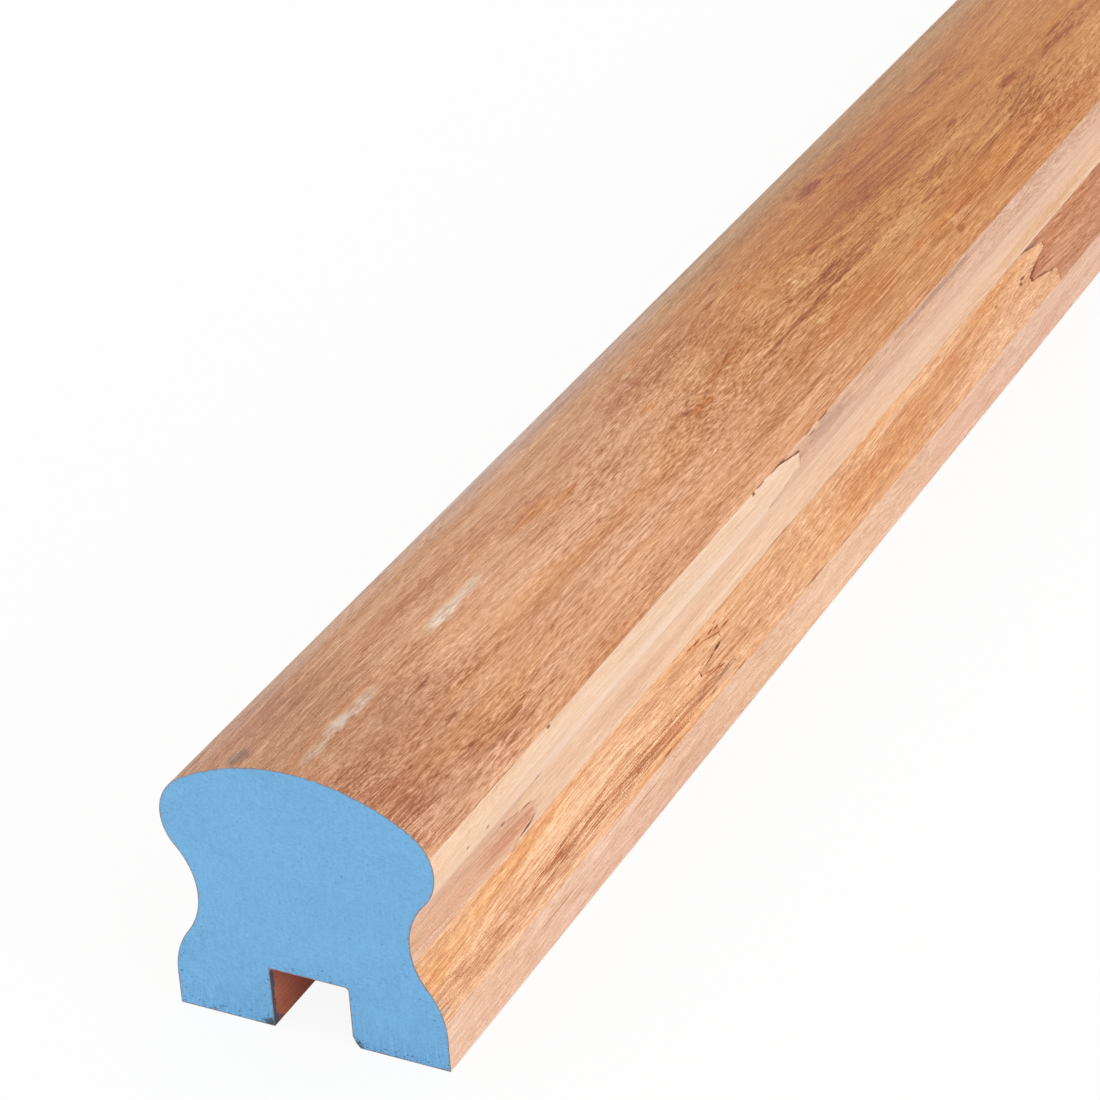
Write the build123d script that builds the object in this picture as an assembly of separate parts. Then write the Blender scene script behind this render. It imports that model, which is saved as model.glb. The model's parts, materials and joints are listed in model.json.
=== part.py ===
from build123d import *
from itertools import accumulate
import math
import os

# Waisted wooden handrail: five layers of finger-jointed boards, glued up and
# moulded to one section along the whole length.
# X runs across the rail, Y along it with the sealed front end at -Y, Z is up.
# The origin is in the middle of the base, halfway along. Millimetres.

# Stock length, and the outline that the moulder cuts
LENGTH = 2400.0
HEIGHT = 66.0
BASE_WIDTH = 65.0
HEAD_WIDTH = 64.6
WAIST_WIDTH = 50.4
CROWN_RADIUS = 51.0
SHOULDER_RADIUS = 11.5
COVE_RADIUS = 16.8
FOOT_RADIUS = 19.0

# Groove along the underside, which takes a fillet strip or rail brackets
GROOVE_WIDTH = 19.0
GROOVE_DEPTH = 15.0
GROOVE_CORNER = 1.0

# Thickness of the layers: the lowest is planed thinner than the three above
# it, and the crown layer fills the rest of the height
FOOT_LAYER = 11.8
INNER_LAYER = 13.7

# Finger joint as it shows on the sides: one wide tongue with narrow fingers
# above and below it. A narrow finger stops short of the bottom of its slot
FINGER_LENGTH = 15.5
FINGER_PITCH = 7.2
FINGER_TIP = 1.0
WIDE_TONGUE = 3.8
TIP_GAP = 0.3

# Height of each layer's wide tongues above the layer's own lower face
FOOT_TONGUE = 5.2
FLANK_TONGUE = 2.1
WAIST_TONGUE = 3.7
SHOULDER_TONGUE = 9.5
CROWN_TONGUE = 5.3

# Boards of each layer that end in sight, from the sealed front end, measured
# to the root of the joint
FOOT_SEEN = []
FLANK_SEEN = [134.0, 220.0]
WAIST_SEEN = [41.0]
SHOULDER_SEEN = [172.0]
CROWN_SEEN = []

# Boards further along. They are of random length, they fill what the stock
# length leaves in these proportions, and no joint lies right above another
FOOT_REST = [560.0, 465.0, 372.0, 538.0, 465.0]
FLANK_REST = [330.0, 465.0, 372.0, 538.0, 341.0]
WAIST_REST = [424.0, 330.0, 465.0, 372.0, 538.0, 230.0]
SHOULDER_REST = [372.0, 538.0, 424.0, 330.0, 564.0]
CROWN_REST = [655.0, 538.0, 424.0, 330.0, 453.0]

# Piece broken out of the front end, at the groove's mouth on the right
CHIP_ACROSS = 1.7
CHIP_ALONG = 1.2
CHIP_UP = 2.7

FRONT = -LENGTH / 2
BACK = LENGTH / 2
FLANK_BASE = FOOT_LAYER
WAIST_BASE = FLANK_BASE + INNER_LAYER
SHOULDER_BASE = WAIST_BASE + INNER_LAYER
CROWN_BASE = SHOULDER_BASE + INNER_LAYER
FINGER_RISE = FINGER_PITCH / 2 - FINGER_TIP


def next_arc_centre(centre, radius, next_x, next_radius):
    """Centre of the arc below that bends the other way from this one."""
    drop = math.sqrt((radius + next_radius) ** 2 - (next_x - centre.X) ** 2)
    return Vector(next_x, centre.Y - drop)


def moulded_section():
    """The rail's section, X across and Y up, with its groove."""
    crown = Vector(0, HEIGHT - CROWN_RADIUS)
    shoulder_x = HEAD_WIDTH / 2 - SHOULDER_RADIUS
    shoulder_rise = math.sqrt((CROWN_RADIUS - SHOULDER_RADIUS) ** 2 - shoulder_x**2)
    shoulder = Vector(shoulder_x, crown.Y + shoulder_rise)
    cove_x = WAIST_WIDTH / 2 + COVE_RADIUS
    cove = next_arc_centre(shoulder, SHOULDER_RADIUS, cove_x, COVE_RADIUS)
    foot_x = BASE_WIDTH / 2 - FOOT_RADIUS
    foot = next_arc_centre(cove, COVE_RADIUS, foot_x, FOOT_RADIUS)

    crown_end = crown + (shoulder - crown).normalized() * CROWN_RADIUS
    shoulder_end = shoulder + (cove - shoulder).normalized() * SHOULDER_RADIUS
    cove_end = cove + (foot - cove).normalized() * COVE_RADIUS
    foot_end = Vector(BASE_WIDTH / 2, foot.Y)

    side = [
        RadiusArc((0, HEIGHT), crown_end, CROWN_RADIUS),
        ThreePointArc(crown_end, (HEAD_WIDTH / 2, shoulder.Y), shoulder_end),
        ThreePointArc(shoulder_end, (WAIST_WIDTH / 2, cove.Y), cove_end),
        RadiusArc(cove_end, foot_end, FOOT_RADIUS),
        Polyline(foot_end, (BASE_WIDTH / 2, 0), (0, 0)),
    ]
    right_side = Curve() + side
    section = make_face(right_side + mirror(right_side, Plane.YZ))
    return section - RectangleRounded(GROOVE_WIDTH, 2 * GROOVE_DEPTH, GROOVE_CORNER)


def layer_bar(section, low, high):
    """One layer over the whole length, before it is cut into boards."""
    band = Pos(0, (low + high) / 2) * Rectangle(2 * BASE_WIDTH, high - low)
    far_end = Plane(origin=(0, BACK, 0), x_dir=(1, 0, 0), z_dir=(0, -1, 0))
    return extrude(far_end * (section & band), amount=LENGTH)


def finger_line(root, tongue, layer_height, tip_gap=0.0, root_gap=0.0):
    """Zigzag of one joint in Y and Z, from below its layer to above it.

    tip_gap shortens the narrow fingers that point away from the front end,
    and root_gap those that point towards it. The flanks stay where they are.
    """
    tip = root + FINGER_LENGTH
    slope = FINGER_RISE / FINGER_LENGTH
    steps = math.ceil(layer_height / (FINGER_PITCH / 2)) + 1
    line = []
    for step in range(-steps, steps + 1):
        if step == 0:
            line += [(tip, tongue - WIDE_TONGUE / 2), (tip, tongue + WIDE_TONGUE / 2)]
            continue
        from_tongue = WIDE_TONGUE / 2 - FINGER_TIP / 2 + abs(step) * FINGER_PITCH / 2
        middle = tongue + math.copysign(from_tongue, step)
        gap = root_gap if step % 2 else tip_gap
        end = root + gap if step % 2 else tip - gap
        half = FINGER_TIP / 2 + gap * slope
        line += [(end, middle - half), (end, middle + half)]
    return line


def in_front_of(line):
    """Block that holds everything on the front end's side of a joint."""
    before_rail = FRONT - FINGER_LENGTH
    corners = [(before_rail, line[0][1]), *line, (before_rail, line[-1][1])]
    outline = Plane.YZ * make_face(Polyline(*corners, close=True))
    return extrude(outline, amount=BASE_WIDTH, both=True)


def cut_into_boards(bar, low, high, tongue, seen, rest):
    """The boards of one layer, from the front end to the back."""
    stretch = (LENGTH - sum(seen)) / sum(rest)
    lengths = seen + [length * stretch for length in rest]
    boards = []
    for joint in list(accumulate(lengths))[:-1]:
        place = (FRONT + joint, low + tongue, high - low)
        boards.append(bar & in_front_of(finger_line(*place, tip_gap=TIP_GAP)))
        bar = bar - in_front_of(finger_line(*place, root_gap=TIP_GAP))
    return boards + [bar]


def break_corner(strip):
    """Takes the chip out of the strip at the front end of the groove's right side."""
    outer_point = (GROOVE_WIDTH / 2 + CHIP_ACROSS, FRONT, 0)
    facing = (1 / CHIP_ACROSS, 1 / CHIP_ALONG, 1 / CHIP_UP)
    return split(strip, bisect_by=Plane(origin=outer_point, z_dir=facing), keep=Keep.TOP)


def write_layer(name, section, low, high, tongue, seen, rest):
    """Writes each board of one layer, or its two strips beside the groove."""
    bar = layer_bar(section, low, high)
    for number, board in enumerate(cut_into_boards(bar, low, high, tongue, seen, rest), 1):
        strips = board.solids().sort_by(Axis.X)
        if low == 0 and number == 1:
            strips[-1] = break_corner(strips[-1])
        sides = ["_left", "_right"] if len(strips) == 2 else [""]
        for strip, side in zip(strips, sides):
            export_step(strip, f"parts/{name}_board_{number}{side}.step")


os.makedirs("parts", exist_ok=True)
profile = moulded_section()
write_layer("foot", profile, 0, FLANK_BASE, FOOT_TONGUE, FOOT_SEEN, FOOT_REST)
write_layer("flank", profile, FLANK_BASE, WAIST_BASE, FLANK_TONGUE, FLANK_SEEN, FLANK_REST)
write_layer("waist", profile, WAIST_BASE, SHOULDER_BASE, WAIST_TONGUE, WAIST_SEEN, WAIST_REST)
write_layer(
    "shoulder", profile, SHOULDER_BASE, CROWN_BASE, SHOULDER_TONGUE, SHOULDER_SEEN, SHOULDER_REST
)
write_layer("crown", profile, CROWN_BASE, HEIGHT, CROWN_TONGUE, CROWN_SEEN, CROWN_REST)
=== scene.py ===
import json
import math
import random
from collections import namedtuple

import bpy
from bpy.props import FloatProperty, FloatVectorProperty, PointerProperty
from mathutils import Euler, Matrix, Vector


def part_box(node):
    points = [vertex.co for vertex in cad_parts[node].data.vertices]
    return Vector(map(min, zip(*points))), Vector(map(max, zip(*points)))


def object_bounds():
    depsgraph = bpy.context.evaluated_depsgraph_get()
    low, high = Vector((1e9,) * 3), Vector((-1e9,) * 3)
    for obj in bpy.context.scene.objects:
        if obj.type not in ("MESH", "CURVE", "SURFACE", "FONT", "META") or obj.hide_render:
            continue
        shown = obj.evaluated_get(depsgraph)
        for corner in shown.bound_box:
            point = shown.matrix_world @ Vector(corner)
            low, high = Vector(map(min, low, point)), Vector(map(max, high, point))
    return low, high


bl_info = {
    "name": "Wooden Handrail Finish",
    "version": (1, 0, 0),
    "blender": (4, 5, 0),
    "location": "3D View > Sidebar > Handrail",
    "description": "Raw wood and end sealer on a glued-up handrail, and its studio stage",
    "category": "Object",
}

# The frame holds every board of the rail. Metres: X across, Y along with the
# front end at -Y, Z up. Places and sizes in this file's tables are in
# millimetres, and "along" is counted from the front end.
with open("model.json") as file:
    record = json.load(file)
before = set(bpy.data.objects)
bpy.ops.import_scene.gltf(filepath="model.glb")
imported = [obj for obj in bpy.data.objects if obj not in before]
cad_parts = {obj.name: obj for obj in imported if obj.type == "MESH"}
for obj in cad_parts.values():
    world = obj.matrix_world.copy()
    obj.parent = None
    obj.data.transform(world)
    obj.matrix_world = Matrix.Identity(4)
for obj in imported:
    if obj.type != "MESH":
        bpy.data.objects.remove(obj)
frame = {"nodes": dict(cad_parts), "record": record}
rail_box = [list(corner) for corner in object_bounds()]

MM = 0.001
HALF_LENGTH = rail_box[1][1] / MM
RAIL_HEIGHT = rail_box[1][2] / MM

# A board reaches an end or a face of the rail when it comes this close
NEAR = 1.0

# Moulded outline: the arcs that the sealer's worn rim follows
CROWN_ARC = (0.0, 15.0, 51.0)
SHOULDER_ARC = (20.8, 48.58, 11.5)
COVE_ARC = (42.0, 29.83, 16.8)
FOOT_ARC = (13.5, 8.17, 19.0)
CROWN_ENDS = 58.37
SHOULDER_ENDS = 40.96
COVE_ENDS = 18.33
FOOT_SIDE = 32.5
GROOVE_SIDE = 9.5
GROOVE_TOP = 15.0
GROOVE_MARGIN = 0.1

# Finger joints: their length, and the height of each layer's wide tongue
FINGER_LENGTH = 15.5
FINGER_PITCH = 7.2
FINGER_TIP = 1.0
WIDE_TONGUE = 3.8
TIP_GAP = 0.3
TONGUE_HEIGHT = {"foot": 5.2, "flank": 13.9, "waist": 29.2, "shoulder": 48.7, "crown": 58.2}

# The joint that was glued clean: it shows only in the marks listed below
CLEAN_JOINT = 134.0

# How far the glue of a rich joint spreads, and what shows of it on the wide tongue's tip
JOINT_SPREAD = 1.6
JOINT_FADE = 1.0
TIP_STAIN = 0.15
TIP_FADE = 0.2


def srgb(red, green, blue):
    """A colour as a paint chart gives it, turned into Blender's own linear values."""
    channels = [value / 255 for value in (red, green, blue)]
    return tuple(c / 12.92 if c <= 0.04045 else ((c + 0.055) / 1.055) ** 2.4 for c in channels)


# Patterns made of noise: the size of its grains across, along and up, its detail
# and its roughness
Pattern = namedtuple("Pattern", "size detail roughness", defaults=(0.5,))
GRAIN_PATTERNS = {
    "band": Pattern((4.5, 100.0, 4.5), 2.0, 0.6),
    "drift": Pattern((5.0, 100.0, 5.0), 1.0, 0.6),
    "streak": Pattern((0.7, 40.0, 0.7), 3.0, 0.8),
    "fibre": Pattern((0.2, 20.0, 0.2), 1.0, 0.6),
    "grit": Pattern((0.28, 0.42, 0.28), 1.0, 0.6),
    "pore": Pattern((0.26, 3.4, 0.26), 0.0),
    "contour": Pattern((1.7, 75.0, 1.7), 1.0),
    "crowd": Pattern((7.0, 40.0, 7.0), 1.0),
}
Grain = namedtuple("Grain", list(GRAIN_PATTERNS))
GLUE_PATCHES = Pattern((3.0, 9.0, 3.0), 2.0, 0.65)
GLUE_AMOUNTS = (0.04, 0.9)
GLUE_LINE_FADE = (0.3, 1.3)

# Each board takes its noise from a far place of its own, up to this far off
FAR_OFF = 500

# The grain wanders in a long and a short wave: its pattern, and its reach sideways
GRAIN_WAVES = (
    (Pattern((40.0, 170.0, 40.0), 0.0), 14.0),
    (Pattern((11.0, 60.0, 11.0), 0.0), 1.4),
)

# Where a noise, which swings around 0.5, starts and ends to show as each of these
STREAK_EDGES = (0.38, 0.62)
FIBRE_EDGES = (0.44, 0.56)
CROWD_EDGES = (0.38, 0.62)
PORE_EDGES = (0.61, 0.66)
FLECK_EDGES = (0.39, 0.34)
LINE_EDGES = (0.0, 0.03)
WARM_EDGES = (0.48, 0.7)
ASHEN_EDGES = (0.5, 0.32)
GLUE_EDGES = (0.46, 0.7)

# Share of the pores and dark lines that stays where they are sparse
SPARSE_PORES = 0.25

# How strongly each wood shows its bands, streaks, fibres and grit, its thin
# dark lines, dark pores and bright flecks, and how far its colour drifts
Figure = namedtuple("Figure", "band streak fibre grit line pore fleck drift")
FIGURES = {
    "red_brown_wood": Figure(0.8, 0.27, 0.25, 0.95, 0.2, 0.38, 0.18, 0.5),
    "russet_wood": Figure(1.0, 0.38, 0.3, 0.95, 0.22, 0.38, 0.18, 0.5),
    "orange_wood": Figure(0.75, 0.26, 0.24, 0.8, 0.16, 0.2, 0.18, 0.6),
    "pink_wood": Figure(0.5, 0.18, 0.17, 0.85, 0.08, 0.16, 0.1, 0.4),
    "cream_wood": Figure(0.4, 0.12, 0.12, 0.5, 0.04, 0.07, 0.06, 0.3),
}

# What a warm tone lets through of each wood's colour, and an ashen tone of any
WARM_TONES = {
    "red_brown_wood": (0.98, 0.82, 0.55),
    "russet_wood": (0.98, 0.8, 0.52),
    "orange_wood": (0.98, 0.82, 0.55),
    "pink_wood": (0.98, 0.86, 0.74),
    "cream_wood": (0.98, 0.88, 0.78),
}
ASHEN_TONE = (0.94, 0.94, 1.0)

# What the wood inside the groove lets through: it shows darker and redder there
GROOVE_TONE = (0.65, 0.27, 0.17)

# Boards differ in shade by chance, up to this much, and some came lighter or darker than the rest
# of their wood. The foot strips are lightened as painted light, making up for the light the floor
# keeps from them, and flank_board_2 is darkened as painted shade against the lamp on the right
SHADE_CHANCE = 0.03
BOARD_TONES_AND_PAINTED_LIGHT = {
    # Painted light: the low foot strips lightened for the light the floor keeps from them
    "foot_board_1_left": 0.07,
    "foot_board_1_right": 0.07,
    # Painted shade: darkened against the lamp on the right
    "flank_board_2": -0.12,
    "waist_board_1": -0.05,
    "waist_board_2": -0.05,
    "shoulder_board_1": -0.03,
    "shoulder_board_2": -0.08,
}

# Wood that is darker is also more saturated: powers of the shade for each channel
SHADE_POWERS = (0.65, 1.12, 1.6)

# A mark is a soft patch on one face of a layer. On the top it is placed by
# along and across, on the right side by along and height, and at the groove's
# mouth by along and across. It is turned by an angle from the rail's length,
# and a broken mark falls apart into streaks. FLANK_TURN is the slope of a
# finger's flank
Mark = namedtuple(
    "Mark",
    "face along place half_along half_place colour strength turn broken",
    defaults=(0.0, 0.6),
)
FLANK_TURN = 9.7
SCUFF = srgb(236, 214, 198)
DARK_BROWN = srgb(112, 48, 22)
RED_BROWN = srgb(172, 96, 62)
ORANGE = srgb(205, 124, 62)
GREY_BROWN = srgb(140, 108, 98)
PALE = srgb(238, 200, 160)
BEIGE = srgb(240, 206, 182)
SMOKE_BROWN = srgb(138, 76, 58)
DEEP_ORANGE = srgb(176, 98, 46)
BLUE_GREY = srgb(168, 178, 194)
BLACK_GLUE = srgb(84, 36, 14)

# Reach of a mark square to its face, the middle of the right side's marks, and
# where a mark starts and ends to fade and where it has surely ended, as shares
# of its half sizes
TOP_REACH = 60.0
SIDE_REACH = 28.0
SIDE_MIDDLE = 30.0
MOUTH_REACH = 3.0
MARK_FADE = (0.45, 1.15)
MARK_END = 1.5

# How far each pattern of the grain breaks up a mark
MARK_BREAKERS = {"streak": 1.6, "fibre": 1.4, "grit": 1.0}

MARKS = {
    "crown": [
        Mark("top", 9.5, 1.0, 7.5, 2.0, SCUFF, 0.7),
        Mark("top", 19.5, 0.1, 5.5, 2.2, SCUFF, 0.8),
        Mark("top", 28.5, 0.8, 9.5, 2.2, SCUFF, 0.8),
        Mark("top", 67.5, 0.4, 9.5, 2.3, SCUFF, 0.75),
        Mark("top", 80.0, 0.1, 7.0, 1.7, SCUFF, 0.6),
        Mark("top", 5.0, 21.0, 9.0, 9.0, RED_BROWN, 0.35, 0.0, 3.0),
        Mark("top", 12.0, 6.0, 40.0, 36.0, srgb(150, 98, 72), 0.24),
        Mark("top", 350.0, -6.0, 200.0, 60.0, srgb(190, 118, 54), 0.62),
        # Painted sheen: these three patches pale and grey the crown's left side, standing in for
        # the whitish reflection it shows at a grazing angle
        Mark("top", 330.0, -31.0, 270.0, 18.0, srgb(212, 176, 166), 0.85),
        Mark("top", 200.0, -34.0, 320.0, 14.0, srgb(208, 166, 140), 0.6),
        Mark("top", 28.0, -25.0, 40.0, 9.0, GREY_BROWN, 0.12),
        Mark("top", 4.5, -14.5, 4.0, 2.6, GREY_BROWN, 0.5),
        Mark("top", 26.0, -15.0, 20.0, 9.0, RED_BROWN, 0.15, 0.0, 3.0),
        Mark("top", 40.0, 9.0, 6.5, 0.5, DARK_BROWN, 0.35),
        Mark("top", 36.0, 18.5, 3.0, 0.5, DARK_BROWN, 0.35),
        Mark("top", 33.0, 25.0, 2.5, 0.5, DARK_BROWN, 0.22),
        Mark("top", 47.0, 27.0, 5.0, 0.4, DARK_BROWN, 0.28),
        Mark("top", 41.0, 29.5, 4.0, 0.4, DARK_BROWN, 0.3),
        Mark("top", 43.0, 27.0, 14.0, 3.5, RED_BROWN, 0.17, 0.0, 3.0),
        Mark("top", 116.0, -1.5, 11.0, 2.6, ORANGE, 0.4),
        Mark("top", 123.0, 2.0, 9.0, 1.3, ORANGE, 0.45),
        Mark("top", 190.0, -8.0, 28.0, 5.0, RED_BROWN, 0.25, 0.0, 3.0),
        Mark("top", 169.0, 1.8, 5.0, 1.2, ORANGE, 0.5),
        Mark("top", 172.0, 10.6, 2.5, 0.7, DARK_BROWN, 0.3),
        Mark("top", 177.0, 11.8, 7.0, 1.6, ORANGE, 0.6),
        Mark("top", 198.0, 8.6, 18.0, 1.3, ORANGE, 0.5),
        Mark("top", 184.5, -11.2, 3.2, 1.0, PALE, 0.6),
        Mark("top", 224.0, -7.6, 4.0, 0.8, RED_BROWN, 0.7),
        Mark("top", 235.0, -11.8, 4.0, 0.7, RED_BROWN, 0.7),
        Mark("top", 234.0, -4.6, 5.0, 1.6, ORANGE, 0.5),
        Mark("top", 243.6, 7.0, 1.6, 5.0, PALE, 0.5),
        Mark("top", 247.0, 3.5, 0.6, 4.0, PALE, 0.5),
        Mark("top", 255.0, 12.2, 8.0, 1.0, DARK_BROWN, 0.28),
        Mark("top", 230.0, 15.4, 34.0, 0.6, DARK_BROWN, 0.28),
        Mark("top", 262.0, 4.6, 5.0, 0.9, RED_BROWN, 0.6),
        Mark("top", 232.5, 19.0, 4.0, 1.4, PALE, 0.55),
        Mark("top", 286.0, -10.0, 3.0, 3.0, PALE, 0.4),
        Mark("top", 296.0, -11.5, 8.0, 2.4, RED_BROWN, 0.55),
        Mark("top", 302.0, -4.5, 9.0, 1.7, ORANGE, 0.6),
        Mark("top", 365.0, -9.5, 2.5, 3.2, PALE, 0.4),
        Mark("top", 376.0, -8.0, 15.0, 1.3, RED_BROWN, 0.45, 0.0, 2.0),
        Mark("top", 372.0, -11.0, 24.0, 1.6, BEIGE, 0.4, 0.0, 3.0),
        Mark("top", 347.5, 8.5, 4.5, 0.7, DARK_BROWN, 0.35),
        Mark("top", 381.0, 12.2, 7.0, 1.2, RED_BROWN, 0.75),
        Mark("top", 418.0, 11.5, 8.0, 0.6, DARK_BROWN, 0.3),
        Mark("top", 304.0, 25.5, 2.4, 2.2, PALE, 0.6),
        Mark("top", 303.0, 28.5, 2.6, 0.9, RED_BROWN, 0.6),
        Mark("top", 308.0, 18.0, 9.0, 0.5, DARK_BROWN, 0.32),
        Mark("top", 370.0, 18.5, 18.0, 3.0, DARK_BROWN, 0.14, 0.0, 4.0),
        Mark("top", 410.0, -14.0, 24.0, 8.0, RED_BROWN, 0.15, 0.0, 3.0),
        Mark("top", 300.0, 2.0, 40.0, 7.0, RED_BROWN, 0.25, 0.0, 3.0),
        Mark("top", 330.0, -12.0, 36.0, 5.0, RED_BROWN, 0.22, 0.0, 3.0),
        Mark("top", 350.0, 22.0, 44.0, 4.0, ORANGE, 0.35, 0.0, 3.0),
        Mark("top", 364.0, 18.5, 38.0, 4.5, BEIGE, 0.5, 0.0, 2.0),
        Mark("top", 285.0, 19.0, 26.0, 4.0, BEIGE, 0.5, 0.0, 2.0),
        Mark("top", 334.0, 11.5, 26.0, 2.5, BEIGE, 0.4, 0.0, 2.0),
        Mark("top", 326.0, 14.8, 12.0, 1.6, SMOKE_BROWN, 0.24, 0.0, 3.5),
        Mark("top", 384.0, 20.0, 14.0, 2.4, SMOKE_BROWN, 0.2, 0.0, 4.0),
        Mark("top", 344.0, 19.8, 8.0, 1.0, SMOKE_BROWN, 0.28, 0.0, 3.0),
        Mark("top", 264.0, 14.5, 13.0, 2.4, SMOKE_BROWN, 0.22, 0.0, 4.0),
        Mark("top", 416.0, 14.3, 14.0, 1.2, RED_BROWN, 0.5, 0.0, 2.0),
        Mark("top", 322.0, 26.2, 28.0, 1.5, DEEP_ORANGE, 0.4, 0.0, 2.5),
        Mark("top", 374.0, 26.4, 26.0, 1.5, DEEP_ORANGE, 0.4, 0.0, 2.5),
        Mark("top", 250.0, 22.0, 34.0, 4.0, ORANGE, 0.3, 0.0, 3.0),
    ],
    "shoulder": [
        Mark("right", 161.7, 52.5, 0.8, 0.45, BLACK_GLUE, 0.6),
        Mark("right", 166.0, 52.7, 2.5, 0.25, DARK_BROWN, 0.4),
        Mark("right", 54.0, 52.6, 0.8, 0.45, BLACK_GLUE, 0.45),
        Mark("right", 176.0, 52.6, 6.0, 0.2, DARK_BROWN, 0.5),
        Mark("right", 181.5, 51.8, 5.0, 0.24, DARK_BROWN, 0.6, -FLANK_TURN),
        Mark("right", 186.4, 51.0, 1.6, 0.35, BLACK_GLUE, 0.6, -FLANK_TURN),
        Mark("right", 194.0, 52.6, 3.0, 0.25, DARK_BROWN, 0.5),
        Mark("right", 203.0, 52.5, 3.5, 0.3, DARK_BROWN, 0.55),
        Mark("right", 196.0, 51.6, 2.5, 0.2, DARK_BROWN, 0.5),
        Mark("right", 187.4, 49.0, 0.5, 2.2, RED_BROWN, 0.4),
        Mark("right", 183.5, 46.8, 3.5, 0.25, RED_BROWN, 0.5, FLANK_TURN),
        Mark("right", 15.0, 46.5, 0.7, 0.4, DARK_BROWN, 0.4),
        Mark("right", 24.0, 46.0, 0.8, 0.4, DARK_BROWN, 0.35),
        Mark("right", 60.0, 44.5, 60.0, 1.6, srgb(232, 188, 164), 0.25),
        Mark("right", 140.0, 41.5, 45.0, 1.2, srgb(226, 180, 158), 0.25),
        Mark("right", 110.0, 44.0, 80.0, 4.0, srgb(248, 222, 200), 0.7),
        Mark("right", 205.0, 50.0, 16.0, 2.2, GREY_BROWN, 0.25),
        Mark("right", 280.0, 51.5, 40.0, 0.9, GREY_BROWN, 0.3),
        Mark("right", 350.0, 52.0, 90.0, 2.6, srgb(204, 168, 150), 0.35, 0.0, 2.5),
    ],
    "waist": [
        Mark("right", 52.0, 26.35, 3.3, 0.24, BLACK_GLUE, 0.62, 5.0),
        Mark("right", 53.5, 31.4, 2.5, 0.35, DARK_BROWN, 0.35, -FLANK_TURN),
        Mark("right", 48.5, 32.5, 1.8, 0.25, DARK_BROWN, 0.35, 6.0),
        Mark("right", 45.0, 29.3, 14.0, 3.2, RED_BROWN, 0.24),
        Mark("right", 20.0, 30.5, 36.0, 5.0, RED_BROWN, 0.14),
        Mark("right", 188.0, 25.7, 8.0, 0.18, DARK_BROWN, 0.5),
        Mark("right", 120.0, 30.0, 60.0, 2.0, RED_BROWN, 0.1),
        Mark("right", 330.0, 32.0, 150.0, 8.0, srgb(230, 188, 158), 0.5),
        Mark("right", 375.0, 28.0, 60.0, 2.2, srgb(226, 176, 126), 0.45),
    ],
    "flank": [
        Mark("right", 70.0, 15.9, 62.0, 2.6, RED_BROWN, 0.2, 0.0, 3.5),
        Mark("right", 58.0, 16.9, 12.0, 1.0, RED_BROWN, 0.4, 0.0, 2.5),
        Mark("right", 84.0, 16.2, 20.0, 1.3, DARK_BROWN, 0.14, 0.0, 4.0),
        Mark("right", 112.0, 15.6, 24.0, 1.6, RED_BROWN, 0.25, 0.0, 3.0),
        Mark("right", 96.0, 13.5, 22.0, 0.25, PALE, 0.9),
        Mark("right", 78.0, 17.4, 16.0, 0.2, PALE, 0.9),
        Mark("right", 44.0, 15.7, 14.0, 0.2, PALE, 0.8),
        Mark("right", 108.0, 15.1, 12.0, 0.2, PALE, 0.9),
        Mark("right", 66.0, 16.1, 10.0, 0.2, PALE, 0.9),
        Mark("right", 90.0, 14.6, 11.0, 0.2, PALE, 0.9),
        Mark("right", 122.0, 16.4, 9.0, 0.2, PALE, 0.9),
        Mark("right", 145.3, 19.8, 2.1, 0.28, BLACK_GLUE, 0.65, 6.0),
        Mark("right", 140.8, 19.35, 3.6, 0.18, DARK_BROWN, 0.6, 5.0),
        Mark("right", 134.1, 18.35, 0.35, 0.5, BLACK_GLUE, 0.65),
        Mark("right", 136.5, 17.9, 2.4, 0.25, RED_BROWN, 0.6, -FLANK_TURN),
        Mark("right", 139.5, 17.1, 4.0, 0.8, RED_BROWN, 0.3, -FLANK_TURN, 2.0),
        Mark("right", 142.9, 16.4, 2.2, 0.25, DARK_BROWN, 0.45, -FLANK_TURN),
        Mark("right", 145.5, 22.1, 4.2, 0.17, DARK_BROWN, 0.5, -11.0),
        Mark("right", 148.5, 21.0, 0.3, 0.6, DARK_BROWN, 0.45),
        Mark("right", 148.9, 23.9, 1.4, 0.2, DARK_BROWN, 0.5),
        Mark("right", 148.4, 22.7, 1.6, 0.22, DARK_BROWN, 0.6),
        Mark("right", 145.6, 23.1, 1.7, 0.22, DARK_BROWN, 0.6),
        Mark("right", 138.8, 23.9, 1.8, 0.3, DARK_BROWN, 0.6),
        Mark("right", 135.2, 24.2, 1.6, 0.35, RED_BROWN, 0.6),
        Mark("right", 152.6, 21.6, 2.2, 0.16, DARK_BROWN, 0.45),
        Mark("right", 141.0, 14.3, 8.0, 1.3, GREY_BROWN, 0.14),
        Mark("right", 146.0, 14.9, 3.0, 0.2, SCUFF, 0.7),
        Mark("right", 141.0, 15.3, 2.4, 0.2, SCUFF, 0.6),
        Mark("right", 136.0, 13.6, 2.4, 0.2, DARK_BROWN, 0.3),
        Mark("right", 131.0, 15.2, 3.5, 0.8, srgb(222, 176, 160), 0.6),
        Mark("right", 143.0, 14.6, 2.6, 0.2, SCUFF, 0.7),
        Mark("right", 139.0, 14.0, 2.2, 0.2, SCUFF, 0.6),
        Mark("right", 144.0, 20.9, 3.5, 0.7, PALE, 0.5),
        Mark("right", 2.2, 14.2, 1.4, 0.35, BLUE_GREY, 0.45),
        Mark("right", 1.6, 16.4, 1.1, 0.3, BLUE_GREY, 0.4),
        Mark("right", 109.5, 12.4, 2.0, 0.25, DARK_BROWN, 0.4),
        Mark("right", 150.5, 12.2, 4.0, 0.22, DARK_BROWN, 0.45),
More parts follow.
